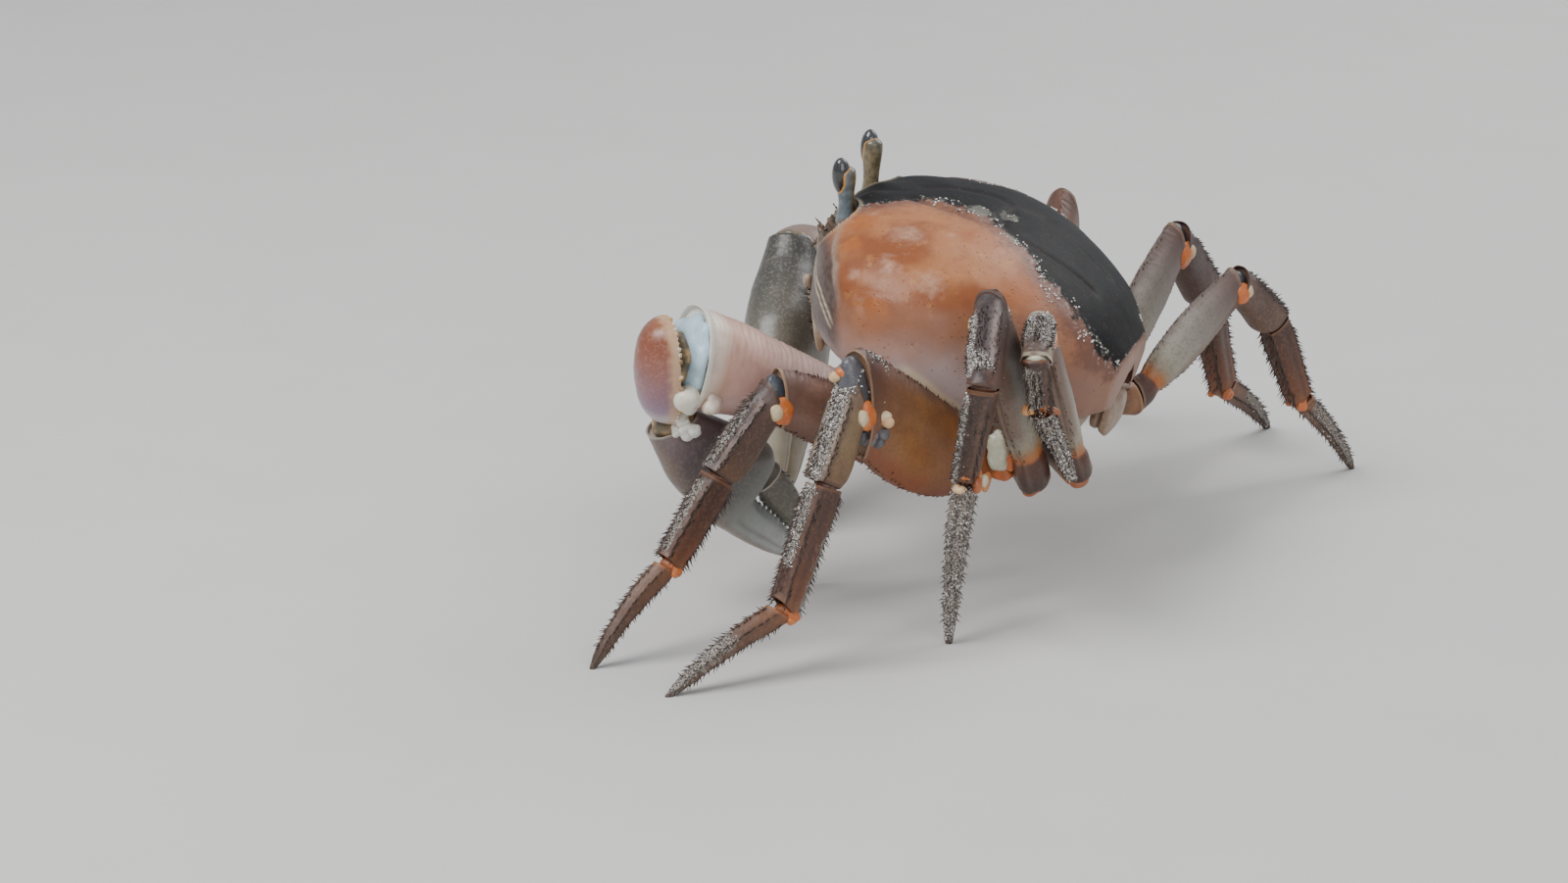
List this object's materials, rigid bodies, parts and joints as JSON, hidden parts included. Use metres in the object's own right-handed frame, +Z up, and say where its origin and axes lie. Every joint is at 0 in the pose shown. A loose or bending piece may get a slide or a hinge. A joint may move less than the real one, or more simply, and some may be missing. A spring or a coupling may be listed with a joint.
{
  "type": "land crab model",
  "caption": "Still, life-size model of a brown land crab standing nose up on its walking legs, stalked eyes raised, the larger claw hanging before its face and the smaller one folded.",
  "frame": {"origin": "on the floor, under the middle of the model's box", "axes": "+Z up, +X to the crab's left, -Y the way it faces"},
  "size_m": [0.2629, 0.1575, 0.108],
  "materials": {
    "carapace": "satin orange-brown shell, brown-black on top, mauve toward a cream lower rim",
    "underside": "cream to tan shell",
    "eyestalk": "smooth blue-grey to ochre",
    "cornea": "glossy dark grey-blue",
    "claw": "satin pinkish mauve to brown and grey-green shell",
    "claw_finger": "smooth pale bluish white",
    "leg_upper": "stippled ochre-brown shell",
    "leg_lower": "dark red-brown shell with bristles, sand clinging"
  },
  "bodies": {
    "root": {"abdomen": "underside", "abdomen_base": "underside", "carapace": "carapace", "claw_left_carpus": "claw", "claw_left_finger": "claw_finger", "claw_left_hip": "leg_upper", "claw_left_merus": "claw", "claw_left_palm": "claw", "claw_right_carpus": "claw", "claw_right_finger": "claw_finger", "claw_right_hip": "leg_upper", "claw_right_merus": "claw", "claw_right_palm": "claw", "eye_left": "cornea", "eye_right": "cornea", "eyestalk_left": "eyestalk", "eyestalk_right": "eyestalk", "leg_1_left_carpus": "leg_lower", "leg_1_left_dactyl": "leg_lower", "leg_1_left_hip": "leg_upper", "leg_1_left_merus": "leg_upper", "leg_1_left_propodus": "leg_lower", "leg_1_right_carpus": "leg_lower", "leg_1_right_dactyl": "leg_lower", "leg_1_right_hip": "leg_upper", "leg_1_right_merus": "leg_upper", "leg_1_right_propodus": "leg_lower", "leg_2_left_carpus": "leg_lower", "leg_2_left_dactyl": "leg_lower", "leg_2_left_hip": "leg_upper", "leg_2_left_merus": "leg_upper", "leg_2_left_propodus": "leg_lower", "leg_2_right_carpus": "leg_lower", "leg_2_right_dactyl": "leg_lower", "leg_2_right_hip": "leg_upper", "leg_2_right_merus": "leg_upper", "leg_2_right_propodus": "leg_lower", "leg_3_left_carpus": "leg_lower", "leg_3_left_dactyl": "leg_lower", "leg_3_left_hip": "leg_upper", "leg_3_left_merus": "leg_upper", "leg_3_left_propodus": "leg_lower", "leg_3_right_carpus": "leg_lower", "leg_3_right_dactyl": "leg_lower", "leg_3_right_hip": "leg_upper", "leg_3_right_merus": "leg_upper", "leg_3_right_propodus": "leg_lower", "leg_4_left_carpus": "leg_lower", "leg_4_left_dactyl": "leg_lower", "leg_4_left_hip": "leg_upper", "leg_4_left_merus": "leg_upper", "leg_4_left_propodus": "leg_lower", "leg_4_right_carpus": "leg_lower", "leg_4_right_dactyl": "leg_lower", "leg_4_right_hip": "leg_upper", "leg_4_right_merus": "leg_upper", "leg_4_right_propodus": "leg_lower", "maxilliped_left": "underside", "maxilliped_right": "underside", "thorax": "underside"}
  },
  "joints": []
}
